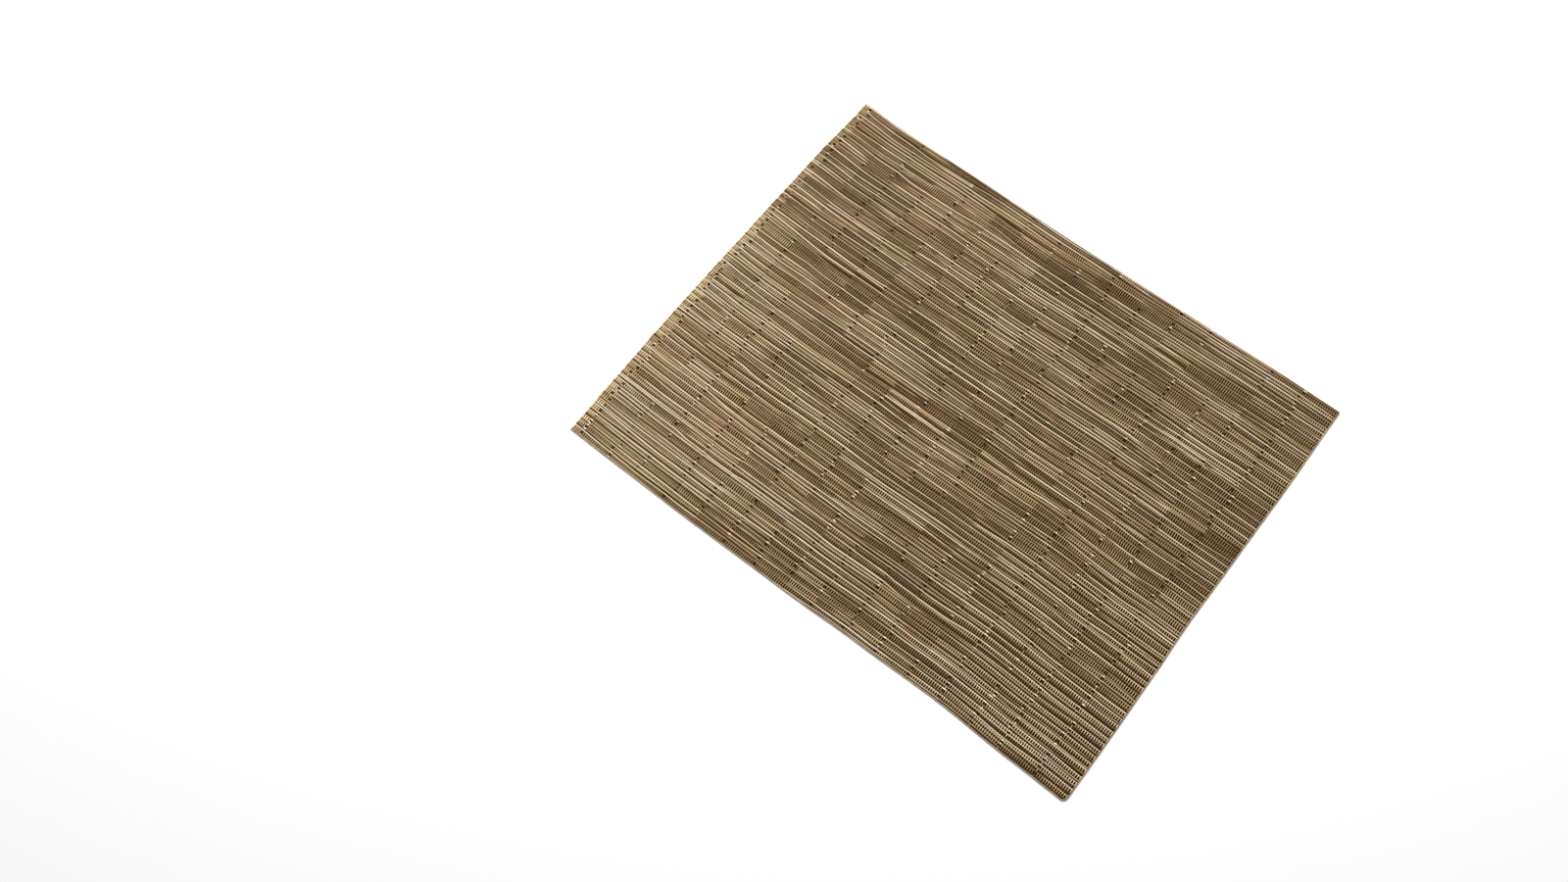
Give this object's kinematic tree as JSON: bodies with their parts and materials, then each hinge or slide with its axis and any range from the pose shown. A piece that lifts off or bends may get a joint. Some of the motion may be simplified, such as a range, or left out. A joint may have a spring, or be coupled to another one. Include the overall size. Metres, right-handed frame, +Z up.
{
  "type": "woven placemat with a bamboo look",
  "caption": "Flat rectangular woven table mat with a bamboo look: raised ribs run along its length between plain sealed cut edges.",
  "frame": {"origin": "middle of the underside, on the table", "axes": "+X along the ribs and the long side, +Y across the ribs, +Z up out of the ribbed face"},
  "size_m": [0.44, 0.3598, 0.0018],
  "materials": {
    "woven_yarn": "woven coated yarn, satin, cream, tan and brown"
  },
  "bodies": {
    "root": {"mat": "woven_yarn"}
  },
  "joints": []
}
